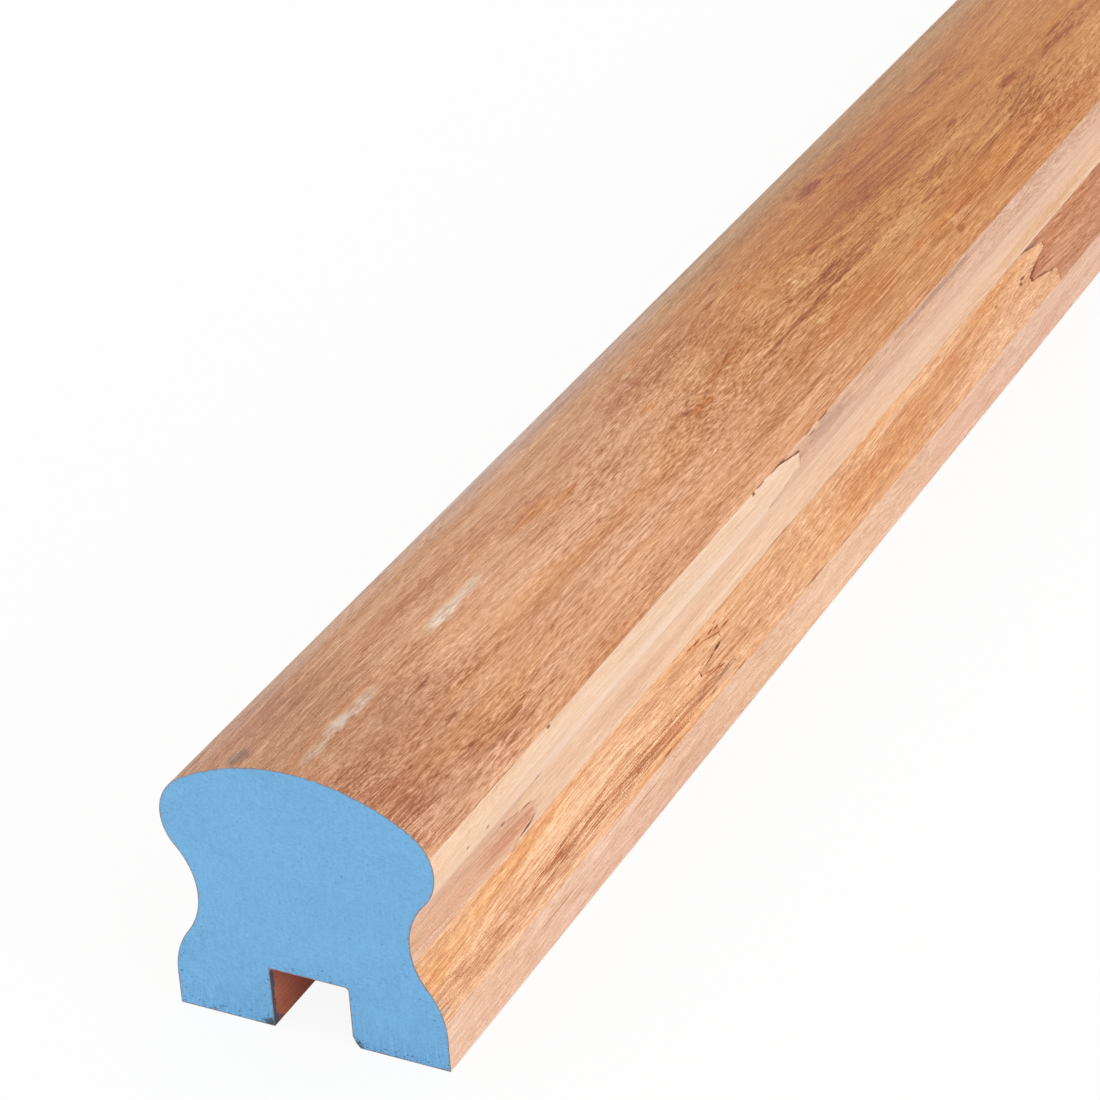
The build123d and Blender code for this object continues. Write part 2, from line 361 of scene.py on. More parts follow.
        Mark("right", 195.0, 12.1, 7.0, 0.22, DARK_BROWN, 0.5),
        Mark("right", 214.0, 12.1, 4.0, 0.2, DARK_BROWN, 0.4),
        Mark("right", 260.0, 19.0, 60.0, 3.5, ORANGE, 0.25),
        Mark("right", 354.5, 18.6, 1.0, 0.6, DARK_BROWN, 0.7),
        Mark("right", 357.5, 19.9, 4.0, 0.35, DARK_BROWN, 0.6, FLANK_TURN),
        Mark("right", 362.0, 19.6, 9.0, 1.6, RED_BROWN, 0.4, 4.0),
        Mark("right", 360.5, 17.6, 5.0, 0.3, DARK_BROWN, 0.45, -FLANK_TURN),
        Mark("right", 350.5, 20.6, 2.0, 0.35, DARK_BROWN, 0.6),
        Mark("right", 348.0, 20.0, 1.2, 0.4, DARK_BROWN, 0.5),
        Mark("right", 366.5, 16.3, 0.8, 0.4, DARK_BROWN, 0.4),
        Mark("right", 363.0, 24.4, 6.0, 0.6, GREY_BROWN, 0.5, -FLANK_TURN),
        Mark("right", 331.0, 21.0, 1.5, 0.25, DARK_BROWN, 0.4),
    ],
    "foot": [
        Mark("mouth", 0.6, 10.6, 1.6, 2.2, srgb(84, 48, 30), 0.9),
        Mark("right", 52.0, 7.5, 12.0, 0.3, DARK_BROWN, 0.2),
        Mark("right", 62.0, 5.0, 5.0, 0.3, DARK_BROWN, 0.2),
        Mark("right", 96.0, 9.0, 9.0, 0.25, DARK_BROWN, 0.2),
        Mark("right", 360.0, 5.0, 140.0, 10.0, srgb(205, 158, 130), 0.2),
        Mark("right", 200.0, 5.0, 75.0, 10.0, srgb(230, 182, 138), 0.5),
    ],
}

# Surface of the wood and of the sealer
WOOD_RELIEF = 0.8
WOOD_SMOOTH = (0.3, 0.7)
WOOD_ROUGHNESS = (0.52, 0.7)
SEALER_ROUGHNESS = 0.55
BUMP_STRENGTH = 0.35
BUMP_DEPTH = 0.05
SPECULAR = 0.2
SHEEN = 0.15

# How far the sealer reaches along the wood, and how far it ran into the groove, more
# so near the foot
SEALER_REACH = 0.12
GROOVE_RUN = 2.4
FOOT_RUN = 3.0
FOOT_RUN_HEIGHT = 3.5

# Strength of the sealer's clouds, grit and brush strokes. The strokes grow from the
# first height down to the second
CLOUD_STRENGTH = 0.16
GRIT_STRENGTH = 0.4
STROKE_HEIGHTS = (14.0, 1.0)
STROKE_STRENGTHS = (0.2, 0.7)

# Flecks in the sealer: where the noise shows as one, how much more of them lie along
# the outline and near the foot, and where they thin out going up
FLECK_START = (0.69, 0.75)
FLECK_COVER = 0.8
OUTLINE_BAND = 6.0
OUTLINE_FLECKS = 0.07
FOOT_BAND = 5.0
FOOT_FLECKS = 0.06
THIN_OUT_HEIGHTS = (18.0, 34.0)
UPPER_SHARE = 0.1

# Dark stain beside the groove's mouth: its middle, half width, half height and edge
MOUTH_MIDDLE = GROOVE_SIDE + 0.8
MOUTH_HALF_WIDTH = 1.9
MOUTH_HALF_HEIGHT = 2.1
MOUTH_FADE = (0.6, 1.1)
MOUTH_RAGGED = 3.0
MOUTH_COVER = 0.85

# Rim where the sealer is worn to the wood, and the sealer that ran into the groove, darkened there
# as painted shade
RIM_FADE = (0.1, 0.38)
RIM_RAGGED = 1.0
RIM_COVER = 0.75
FACE_DEPTH = 0.05
GROOVE_SEALER_PAINTED_SHADE_COVER = 0.85

# Patterns of the sealer, and the colours of what shows in it
RAGGED_EDGE = Pattern((0.9, 0.9, 0.9), 3.0, 0.6)
PAINT_CLOUD = Pattern((14.0, 14.0, 14.0), 2.0)
BRUSH_STROKE = Pattern((0.45, 9.0, 5.0), 2.0, 0.6)
PAINT_GRIT = Pattern((0.8, 0.8, 0.45), 1.0, 0.7)
PAINT_FLECK = Pattern((0.6, 0.6, 0.6), 2.0, 0.7)
FLECK_COLOUR = srgb(46, 70, 100)
MOUTH_COLOUR = srgb(52, 54, 66)
RIM_COLOUR = srgb(150, 112, 92)
# Dark navy of the sealer run inside the groove: painted shade over the real run of paint
GROOVE_SEALER_PAINTED_SHADE = srgb(36, 48, 74)

# Stage, in metres: how far the floor lies under the rail and how pale it is, and the
# side lamp. The camera's sensor is in millimetres
FLOOR_DROP = 0.1 * MM
FLOOR_GREY = 0.95
LAMP_LENGTH = 3.0
LAMP_HEIGHT = 1.6
LAMP_PLACE = (3.0, -1.8, 1.2)
SENSOR_WIDTH = 36.0

# A material's nodes stand in columns of this many, this far apart
COLUMN_NODES = 6
NODE_STEP = 190


class HandrailFinish(bpy.types.PropertyGroup):
    """Colours and wear of the boards and of the sealer on their ends."""

    red_brown_wood: FloatVectorProperty(
        name="Red-brown wood", description="Main colour of the crown and other red-brown boards",
        default=srgb(217, 159, 118), subtype="COLOR", min=0, max=1,
    )
    russet_wood: FloatVectorProperty(
        name="Russet wood", description="Main colour of the dark boards",
        default=srgb(198, 136, 96), subtype="COLOR", min=0, max=1,
    )
    orange_wood: FloatVectorProperty(
        name="Orange wood", description="Main colour of the orange boards",
        default=srgb(237, 184, 140), subtype="COLOR", min=0, max=1,
    )
    pink_wood: FloatVectorProperty(
        name="Pink wood", description="Main colour of the pinkish boards",
        default=srgb(226, 182, 152), subtype="COLOR", min=0, max=1,
    )
    cream_wood: FloatVectorProperty(
        name="Cream wood", description="Main colour of the pale boards",
        default=srgb(238, 202, 171), subtype="COLOR", min=0, max=1,
    )
    sealer: FloatVectorProperty(
        name="End sealer", description="Colour of the sealing paint on both ends",
        default=srgb(118, 181, 227), subtype="COLOR", min=0, max=1,
    )
    glue: FloatVectorProperty(
        name="Glue line", description="Colour of the glue where two boards meet",
        default=srgb(138, 74, 38), subtype="COLOR", min=0, max=1,
    )
    glue_width: FloatProperty(
        name="Glue line width", description="Width of the stain at a glue line, on each board",
        default=0.11 * MM, min=0, max=1 * MM, subtype="DISTANCE", unit="LENGTH", precision=5,
    )
    figure_strength: FloatProperty(
        name="Figure", description="How strongly bands, streaks and pores show in the wood",
        default=1.0, min=0, max=2, subtype="FACTOR",
    )


class HandrailStage(bpy.types.PropertyGroup):
    """Size and light of the studio, and the camera's place."""

    floor_size: FloatProperty(
        name="Floor size", description="Length of each side of the floor",
        default=100.0, min=3, max=200, subtype="DISTANCE", unit="LENGTH",
    )
    floor_white: FloatProperty(
        name="Floor white", description="How far the floor shows plain white in place of its shade",
        default=0.92, min=0, max=1, subtype="FACTOR",
    )
    sky_strength: FloatProperty(
        name="Tent light", description="Strength of the even light from all around",
        default=0.86, min=0, max=2,
    )
    lamp_power: FloatProperty(
        name="Lamp", description="Power of the large soft lamp on the right",
        default=28.0, min=0, max=1000, unit="POWER",
    )
    camera_place: FloatVectorProperty(
        name="Camera place", description="Where the camera stands",
        default=(0.364372, -1.765815, 0.498564), subtype="TRANSLATION", unit="LENGTH", precision=5,
    )
    camera_turn: FloatVectorProperty(
        name="Camera turn", description="How the camera is turned",
        default=[math.radians(angle) for angle in (60.13768, 3.08345, 26.24860)],
        subtype="EULER", unit="ROTATION",
    )
    camera_lens: FloatProperty(
        name="Camera lens", description="Focal length in millimetres on a 36 mm sensor",
        default=128.9693, min=10, max=500,
    )


# A point of a board: its place, how far it is from the rail's middle plane, along the
# rail and up, and whether it lies in the groove
Spot = namedtuple("Spot", "place side along height in_groove")


class Shader:
    """Adds the nodes of one material, in columns from left to right."""

    def __init__(self, name):
        self.material = bpy.data.materials.new(name)
        self.material.use_nodes = True
        self.tree = self.material.node_tree
        self.tree.nodes.clear()
        self.count = 0

    def node(self, kind, **settings):
        made = self.tree.nodes.new("ShaderNode" + kind)
        column, row = divmod(self.count, COLUMN_NODES)
        made.location = (column * NODE_STEP, -row * NODE_STEP)
        self.count += 1
        for name, value in settings.items():
            setattr(made, name, value)
        return made

    def plug(self, value, socket):
        if isinstance(value, bpy.types.NodeSocket):
            self.tree.links.new(value, socket)
        elif hasattr(value, "__len__") and socket.type == "RGBA":
            socket.default_value = (*value, 1.0)
        else:
            socket.default_value = value

    def math(self, operation, *values, clamp=False):
        made = self.node("Math", operation=operation, use_clamp=clamp)
        for value, socket in zip(values, made.inputs):
            self.plug(value, socket)
        return made.outputs[0]

    def vector(self, operation, *values):
        made = self.node("VectorMath", operation=operation)
        for value, socket in zip(values, made.inputs):
            self.plug(value, socket)
        return made.outputs["Value"] if operation == "LENGTH" else made.outputs["Vector"]

    def ramp(self, value, start, end, low=0.0, high=1.0):
        """Smooth step of a value: low before start and high after end."""
        made = self.node("MapRange", interpolation_type="SMOOTHSTEP")
        for item, socket in zip((value, start, end, low, high), made.inputs):
            self.plug(item, socket)
        return made.outputs[0]

    def mapping(self, place, offset, scale, turn=(0.0, 0.0, 0.0)):
        made = self.node("Mapping")
        for item, socket in zip((place, offset, turn, scale), made.inputs):
            self.plug(item, socket)
        return made.outputs[0]

    def noise(self, place, pattern, chance, colour=False):
        """Noise of a pattern, taken from a far place that is drawn by chance."""
        offset = tuple(chance.uniform(-FAR_OFF, FAR_OFF) for _ in range(3))
        scale = tuple(1 / side for side in pattern.size)
        made = self.node("TexNoise", noise_dimensions="3D")
        self.plug(self.mapping(place, offset, scale), made.inputs["Vector"])
        made.inputs["Scale"].default_value = 1.0
        made.inputs["Detail"].default_value = pattern.detail
        made.inputs["Roughness"].default_value = pattern.roughness
        return made.outputs["Color" if colour else "Fac"]

    def swing(self, value, reach):
        """A noise turned into a swing around 0, over this reach in all."""
        return self.math("MULTIPLY", self.math("SUBTRACT", value, 0.5), reach)

    def mix(self, amount, first, second, way="MIX"):
        made = self.node("Mix", data_type="RGBA", blend_type=way)
        self.plug(amount, made.inputs[0])
        self.plug(first, made.inputs[6])
        self.plug(second, made.inputs[7])
        return made.outputs[2]


def outline_depth(shader, across, height):
    """How far a point of the end face lies inside the moulded outline, in millimetres."""

    def from_centre(arc):
        flat = shader.node("CombineXYZ")
        beside = shader.math("SUBTRACT", across, arc[0])
        if arc != COVE_ARC:
            beside = shader.math("MAXIMUM", beside, 0.0)
        shader.plug(beside, flat.inputs[0])
        shader.plug(shader.math("SUBTRACT", height, arc[1]), flat.inputs[1])
        return shader.vector("LENGTH", flat.outputs[0])

    crown = shader.math("SUBTRACT", CROWN_ARC[2], from_centre(CROWN_ARC))
    shoulder = shader.math("SUBTRACT", SHOULDER_ARC[2], from_centre(SHOULDER_ARC))
    cove = shader.math("SUBTRACT", from_centre(COVE_ARC), COVE_ARC[2])
    foot = shader.math("SUBTRACT", FOOT_ARC[2], from_centre(FOOT_ARC))
    side = shader.math("SUBTRACT", FOOT_SIDE, across)
    depth = side
    for start, part in (
        (FOOT_ARC[1], foot),
        (COVE_ENDS, cove),
        (SHOULDER_ENDS, shoulder),
        (CROWN_ENDS, crown),
    ):
        above = shader.math("GREATER_THAN", height, start)
        wanted = shader.node("Mix", data_type="FLOAT")
        shader.plug(above, wanted.inputs[0])
        shader.plug(depth, wanted.inputs[2])
        shader.plug(part, wanted.inputs[3])
        depth = wanted.outputs[0]
    depth = shader.math("MINIMUM", depth, height)
    beside_groove = shader.math("SUBTRACT", across, GROOVE_SIDE)
    above_groove = shader.math("SUBTRACT", height, GROOVE_TOP)
    return shader.math("MINIMUM", depth, shader.math("MAXIMUM", beside_groove, above_groove))


def joint_stain(shader, spot, root, tongue, glue_amount):
    """Glue in the zigzag of a finger joint: 1 on the line, 0 beside it, wide where it is rich."""
    from_tongue = shader.math("ABSOLUTE", shader.math("SUBTRACT", spot.height, tongue))
    from_flank = shader.math("SUBTRACT", from_tongue, (WIDE_TONGUE - FINGER_TIP) / 2)
    folded = shader.math("PINGPONG", shader.math("MAXIMUM", from_flank, 0.0), FINGER_PITCH / 2)
    reach = shader.node("MapRange")
    half_tip = FINGER_TIP / 2
    ends = (folded, half_tip, FINGER_PITCH / 2 - half_tip, root + FINGER_LENGTH, root)
    for item, socket in zip(ends, reach.inputs):
        shader.plug(item, socket)
    away = shader.math("ABSOLUTE", shader.math("SUBTRACT", spot.along, reach.outputs[0]))
    near = shader.math("MULTIPLY", glue_amount, JOINT_SPREAD)
    far = shader.math("ADD", near, JOINT_FADE)
    line = shader.ramp(away, near, far, 1.0, 0.0)
    tip_edge = WIDE_TONGUE / 2
    tight_tip = shader.ramp(from_tongue, tip_edge, tip_edge + TIP_FADE, TIP_STAIN, 1.0)
    return shader.math("MULTIPLY", line, tight_tip)


def mark_cover(shader, place, streaks, mark):
    """How much a mark covers the wood at each point."""
    turn = math.radians(mark.turn)
    if mark.face == "right":
        centre = (SIDE_MIDDLE, mark.along, mark.place)
        turns = (turn, 0.0, 0.0)
        sides = (SIDE_REACH, mark.half_along, mark.half_place)
    else:
        face_height, reach = (TOP_REACH, TOP_REACH) if mark.face == "top" else (0.0, MOUTH_REACH)
        centre = (mark.place, mark.along, face_height)
        turns = (0.0, 0.0, turn)
        sides = (mark.half_place, mark.half_along, reach)
    spread = shader.node("Mapping", vector_type="TEXTURE")
    for item, socket in zip((place, centre, turns, sides), spread.inputs):
        shader.plug(item, socket)
    away = shader.vector("LENGTH", spread.outputs[0])
    ragged = shader.math("ADD", away, shader.math("MULTIPLY", streaks, mark.broken))
    return shader.ramp(ragged, *MARK_FADE, mark.strength, 0.0)


def with_marks_and_painted_sheen(shader, colour, dye_and_painted_sheen):
    """Multiplies the marks into a colour, given by the logarithm of what they let through of each
    channel: soaked-in stains, and the painted sheen on the crown's left side.
    """
    depths = shader.node("SeparateXYZ")
    shader.plug(dye_and_painted_sheen, depths.inputs[0])
    passed = shader.node("CombineColor")
    for depth, socket in zip(depths.outputs, passed.inputs):
        shader.plug(shader.math("POWER", math.e, depth), socket)
    return shader.mix(1.0, colour, passed.outputs[0], way="MULTIPLY")


def marks_of(layer, low, high):
    """The marks of a layer that reach the board between these corners."""
    chosen = []
    for mark in MARKS[layer]:
        reach = MARK_END * mark.half_along
        behind_front = mark.along + reach > low.y + HALF_LENGTH
        before_back = mark.along - reach < high.y + HALF_LENGTH
        on_left_strip = high.x < 0 and mark.face != "top"
        if behind_front and before_back and not on_left_strip:
            chosen.append(mark)
    return chosen


def grain_of(shader, place, chance):
    """The patterns of one board's grain, which runs along it and wanders a little."""
    grain = place
    for pattern, reach in GRAIN_WAVES:
        wander = shader.noise(place, pattern, chance, colour=True)
        wander = shader.vector("SUBTRACT", wander, (0.5, 0.5, 0.5))
        wander = shader.vector("MULTIPLY", wander, (reach, 0.0, reach))
        grain = shader.vector("ADD", grain, wander)
    return Grain(*(shader.noise(grain, pattern, chance) for pattern in GRAIN_PATTERNS.values()))


def bare_wood(shader, grain, slot, tone_and_painted_light_shift, finish):
    """Colour of the sanded wood, and how far its pores are sunk."""
    figure = FIGURES[slot]
    strength = finish.figure_strength

    # Bands, crisp streaks and fibres, and grit
    shade = shader.math("ADD", shader.swing(grain.band, figure.band * strength), 1.0 + tone_and_painted_light_shift)
    for value, reach in (
        (shader.ramp(grain.streak, *STREAK_EDGES), figure.streak),
        (shader.ramp(grain.fibre, *FIBRE_EDGES), figure.fibre),
        (grain.grit, figure.grit),
    ):
        shade = shader.math("ADD", shade, shader.swing(value, reach * strength))

    # Short dark pores and thin dark lines, which crowd in places, and bright flecks
    crowd = shader.ramp(grain.crowd, *CROWD_EDGES, SPARSE_PORES, 1.0)
    pores = shader.math("MULTIPLY", shader.ramp(grain.pore, *PORE_EDGES), crowd)
    pores = shader.math("MULTIPLY", pores, figure.pore * strength)
    flecks = shader.ramp(grain.pore, *FLECK_EDGES, 0.0, figure.fleck * strength)
    contour = shader.math("ABSOLUTE", shader.math("SUBTRACT", grain.contour, 0.5))
    lines = shader.math("MULTIPLY", shader.ramp(contour, *LINE_EDGES, 1.0, 0.0), crowd)
    lines = shader.math("MULTIPLY", lines, figure.line * strength)
    bright = shader.math("ADD", 1.0, flecks)
    shade = shader.math(
        "MULTIPLY", shade, shader.math("SUBTRACT", bright, shader.math("ADD", pores, lines))
    )

    # Warm and ashen tones drift through the board
    wood = tuple(getattr(finish, slot))
    warm = tuple(channel * factor for channel, factor in zip(wood, WARM_TONES[slot]))
    ashen = tuple(channel * factor for channel, factor in zip(wood, ASHEN_TONE))
    colour = shader.mix(shader.ramp(grain.drift, *WARM_EDGES, 0.0, figure.drift), wood, warm)
    colour = shader.mix(shader.ramp(grain.drift, *ASHEN_EDGES, 0.0, figure.drift), colour, ashen)
    shaded = shader.node("CombineColor")
    for power, socket in zip(SHADE_POWERS, shaded.inputs):
        shader.plug(shader.math("POWER", shade, power), socket)
    return shader.mix(1.0, colour, shaded.outputs[0], way="MULTIPLY"), pores


def glue_stain(shader, spot, layer, low, high, chance, finish):
    """Glue that shows at the board's upper and lower face and in its finger joints."""
    patchy = shader.noise(spot.place, GLUE_PATCHES, chance)
    glue_amount = shader.ramp(patchy, *GLUE_EDGES, *GLUE_AMOUNTS)
    fade = tuple(share * finish.glue_width / MM for share in GLUE_LINE_FADE)
    from_faces = []
    if low.z > NEAR:
        from_faces.append(shader.math("SUBTRACT", spot.height, low.z))
    if high.z < RAIL_HEIGHT - NEAR:
        from_faces.append(shader.math("SUBTRACT", high.z, spot.height))
    stains = [shader.ramp(away, *fade, 1.0, 0.0) for away in from_faces]
    roots = []
    if low.y > -HALF_LENGTH + NEAR:
        roots.append(low.y + HALF_LENGTH - TIP_GAP)
    if high.y < HALF_LENGTH - NEAR:
        roots.append(high.y + HALF_LENGTH - FINGER_LENGTH)
    for root in roots:
        if abs(root - CLEAN_JOINT) > NEAR:
            stains.append(joint_stain(shader, spot, root, TONGUE_HEIGHT[layer], glue_amount))
    stain = stains[0]
    for other in stains[1:]:
        stain = shader.math("MAXIMUM", stain, other)
    return shader.math("MULTIPLY", stain, glue_amount)


def marked(shader, colour, place, grain, marks, wood, strength):
    """Lets the marks soak into the wood, broken up by its grain; the pale patches on the crown's
    left side among them are painted sheen.
    """
    streaks = 0.0
    for name, reach in MARK_BREAKERS.items():
        swing = shader.swing(getattr(grain, name), reach * strength)
        streaks = shader.math("ADD", streaks, swing)
    dye_and_painted_sheen = (0.0, 0.0, 0.0)
    for mark in marks:
        depth = tuple(math.log(stained / plain) for stained, plain in zip(mark.colour, wood))
        cover = mark_cover(shader, place, streaks, mark)
        dye_and_painted_sheen = shader.vector("MULTIPLY_ADD", cover, depth, dye_and_painted_sheen)
    return with_marks_and_painted_sheen(shader, colour, dye_and_painted_sheen)


def board_material(name, slot, finish):
    """Raw, sanded wood of one board with its glue stains, marks and sealed end."""
    low, high = (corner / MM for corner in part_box(name))
    layer = name.split("_")[0]
    chance = random.Random("handrail " + name)
    strength = finish.figure_strength
    # Shift of the board's shade: chance and its own tone, with painted light on the foot strips and
    # painted shade on flank_board_2
    tone_and_painted_light_shift = chance.uniform(-SHADE_CHANCE, SHADE_CHANCE) + BOARD_TONES_AND_PAINTED_LIGHT.get(name, 0.0)

    shader = Shader(name + "_finish")
    coordinates = shader.node("TexCoord").outputs["Object"]
    place = shader.mapping(coordinates, (0.0, HALF_LENGTH, 0.0), (1 / MM, 1 / MM, 1 / MM))
    parts = shader.node("SeparateXYZ")
    shader.plug(place, parts.inputs[0])
    across, along, height = parts.outputs
    side = shader.math("ABSOLUTE", across)
    in_groove = shader.math(
        "MULTIPLY",
        shader.math("LESS_THAN", side, GROOVE_SIDE + GROOVE_MARGIN),
        shader.math("LESS_THAN", height, GROOVE_TOP + GROOVE_MARGIN),
    )
    spot = Spot(place, side, along, height, in_groove)

    grain = grain_of(shader, place, chance)
    colour, pores = bare_wood(shader, grain, slot, tone_and_painted_light_shift, finish)
    stain = glue_stain(shader, spot, layer, low, high, chance, finish)
    colour = shader.mix(stain, colour, tuple(finish.glue))
    if layer in ("foot", "flank"):
        colour = shader.mix(in_groove, colour, GROOVE_TONE, way="MULTIPLY")
    marks = marks_of(layer, low, high)
    if marks:
        wood = getattr(finish, slot)
        colour = marked(shader, colour, place, grain, marks, wood, strength)

    # Fibres stand up a little, and pores are sunk
    relief = shader.swing(grain.fibre, WOOD_RELIEF * strength)
    relief = shader.math("ADD", relief, shader.swing(grain.streak, WOOD_RELIEF * strength))
    relief = shader.math("SUBTRACT", relief, pores)
    roughness = shader.ramp(grain.streak, *WOOD_SMOOTH, *WOOD_ROUGHNESS)

    at_front = low.y < -HALF_LENGTH + NEAR
    at_back = high.y > HALF_LENGTH - NEAR
    if at_front or at_back:
        colour, cover, film = sealed_end(shader, spot, colour, at_front, chance, finish)
        relief = shader.math("ADD", relief, film)
        even = shader.math("SUBTRACT", SEALER_ROUGHNESS, roughness)
        roughness = shader.math("ADD", roughness, shader.math("MULTIPLY", even, cover))

    bump = shader.node("Bump")
    bump.inputs["Strength"].default_value = BUMP_STRENGTH
    bump.inputs["Distance"].default_value = BUMP_DEPTH * MM
    shader.plug(relief, bump.inputs["Height"])
    surface = shader.node("BsdfPrincipled")
    surface.inputs["Specular IOR Level"].default_value = SPECULAR
    surface.inputs["Sheen Weight"].default_value = SHEEN
    shader.plug(colour, surface.inputs["Base Color"])
    shader.plug(roughness, surface.inputs["Roughness"])
    shader.plug(bump.outputs[0], surface.inputs["Normal"])
    shader.plug(surface.outputs[0], shader.node("OutputMaterial").inputs["Surface"])
    return shader.material


def sealed_end(shader, spot, wood_colour, at_front, chance, finish):
    """Brushes the sealer over the end: returns the colour, its cover and its relief."""
    place, side, along, height, in_groove = spot
    if not at_front:
        along = shader.math("SUBTRACT", 2 * HALF_LENGTH, along)
    ragged = shader.noise(place, RAGGED_EDGE, chance)

    # In the groove the brush ran over the edge, and elsewhere it hardly did
    low_edge = shader.ramp(height, 0.0, FOOT_RUN_HEIGHT, FOOT_RUN, 0.0)
    run = shader.math("MULTIPLY", in_groove, shader.math("ADD", low_edge, GROOVE_RUN))
    reach = shader.math("ADD", SEALER_REACH, shader.math("MULTIPLY", run, ragged))
    cover = shader.math("LESS_THAN", along, reach)

    # Brushed colour with fine upright strokes, which are stronger near the foot
    cloud = shader.noise(place, PAINT_CLOUD, chance)
    stroke = shader.noise(place, BRUSH_STROKE, chance)
    grit = shader.noise(place, PAINT_GRIT, chance)
    near_foot = shader.ramp(height, *STROKE_HEIGHTS, *STROKE_STRENGTHS)
    strokes = shader.math("MULTIPLY", shader.math("SUBTRACT", stroke, 0.5), near_foot)
    shade = shader.math("ADD", 1.0, shader.swing(cloud, CLOUD_STRENGTH))
    shade = shader.math("ADD", shade, strokes)
    shade = shader.math("ADD", shade, shader.swing(grit, GRIT_STRENGTH))
    paint = shader.node("VectorMath", operation="SCALE")
    shader.plug(tuple(finish.sealer), paint.inputs[0])
    shader.plug(shade, paint.inputs["Scale"])

    # Small dark flecks, more of them along the edges of the lower half
    depth = outline_depth(shader, side, height)
    fleck = shader.noise(place, PAINT_FLECK, chance)
    more = shader.ramp(depth, 0.0, OUTLINE_BAND, OUTLINE_FLECKS, 0.0)
    more = shader.math("MULTIPLY", more, shader.ramp(height, *THIN_OUT_HEIGHTS, 1.0, UPPER_SHARE))
    more = shader.math("ADD", more, shader.ramp(height, 0.0, FOOT_BAND, FOOT_FLECKS, 0.0))
    flecks = shader.ramp(shader.math("ADD", fleck, more), *FLECK_START, 0.0, FLECK_COVER)
    film_colour = shader.mix(flecks, paint.outputs[0], FLECK_COLOUR)

    # Dark stain at both corners of the groove's mouth
    beside_mouth = shader.node("CombineXYZ")
    from_mouth = shader.math("SUBTRACT", side, MOUTH_MIDDLE)
    shader.plug(shader.math("DIVIDE", from_mouth, MOUTH_HALF_WIDTH), beside_mouth.inputs[0])
    shader.plug(shader.math("DIVIDE", height, MOUTH_HALF_HEIGHT), beside_mouth.inputs[1])
    mouth = shader.vector("LENGTH", beside_mouth.outputs[0])
    mouth = shader.math("ADD", mouth, shader.swing(fleck, MOUTH_RAGGED))
    mouth = shader.ramp(mouth, *MOUTH_FADE, MOUTH_COVER, 0.0)
    film_colour = shader.mix(mouth, film_colour, MOUTH_COLOUR)

    # Rim worn down to the wood, and the thin sealer that ran into the groove, painted dark navy as
    # painted shade
    worn = shader.math("ADD", depth, shader.swing(ragged, RIM_RAGGED))
    worn = shader.ramp(worn, *RIM_FADE, RIM_COVER, 0.0)
    film_colour = shader.mix(worn, film_colour, RIM_COLOUR)
    # Painted shade: the sealer run on the groove's wall takes the dark navy colour
    inside = shader.math("MULTIPLY", in_groove, shader.math("GREATER_THAN", along, FACE_DEPTH))
    inside = shader.math("MULTIPLY", inside, GROOVE_SEALER_PAINTED_SHADE_COVER)
    film_colour = shader.mix(inside, film_colour, GROOVE_SEALER_PAINTED_SHADE)
    film = shader.math("MULTIPLY", shader.math("SUBTRACT", stroke, flecks), cover)
    return shader.mix(cover, wood_colour, film_colour), cover, film


def finish_layer(context, layer):
    """Gives each board of one layer its own wood, by the slot that the record names."""
    slots = {part["node"]: part["material_slot"] for part in frame["record"]["subparts"]}
    finish = context.scene.handrail_finish
    for name in sorted(frame["nodes"]):
        if name.startswith(layer + "_board"):
            material = board_material(name, slots[name], finish)
            board = frame["nodes"][name]
            board.data.materials.clear()
            board.data.materials.append(material)
    return {"FINISHED"}


class HANDRAIL_OT_crown_boards(bpy.types.Operator):
    """Finish the boards of the rounded crown"""

    bl_idname = "handrail.crown_boards"
    bl_label = "Crown boards"

    def execute(self, context):
        return finish_layer(context, "crown")


class HANDRAIL_OT_shoulder_boards(bpy.types.Operator):
    """Finish the boards at the widest part of the head"""

    bl_idname = "handrail.shoulder_boards"
    bl_label = "Shoulder boards"

    def execute(self, context):
        return finish_layer(context, "shoulder")


class HANDRAIL_OT_waist_boards(bpy.types.Operator):
    """Finish the boards at the bottom of the side coves"""

    bl_idname = "handrail.waist_boards"
    bl_label = "Waist boards"

    def execute(self, context):
        return finish_layer(context, "waist")


class HANDRAIL_OT_flank_boards(bpy.types.Operator):
    """Finish the boards between the coves and the foot"""

    bl_idname = "handrail.flank_boards"
    bl_label = "Flank boards"

    def execute(self, context):
        return finish_layer(context, "flank")


class HANDRAIL_OT_foot_boards(bpy.types.Operator):
    """Finish the strips beside the groove"""

    bl_idname = "handrail.foot_boards"
    bl_label = "Foot boards"

    def execute(self, context):
        return finish_layer(context, "foot")


class HANDRAIL_OT_stage(bpy.types.Operator):
    """Set up the pale floor, the soft light and the camera"""

    bl_idname = "handrail.stage"
    bl_label = "Studio stage"

    def execute(self, context):
        stage = context.scene.handrail_stage
        add_floor(stage)
        add_light(context, stage)
        add_camera(context, stage)
        context.scene.view_settings.view_transform = "Standard"
        return {"FINISHED"}


def seen_white(shader):
    """1 for rays that show the background directly, in a reflection or through glass."""
    path = shader.node("LightPath")
    seen = shader.math("MAXIMUM", path.outputs["Is Camera Ray"], path.outputs["Is Glossy Ray"])
    return shader.math("MAXIMUM", seen, path.outputs["Is Transmission Ray"])


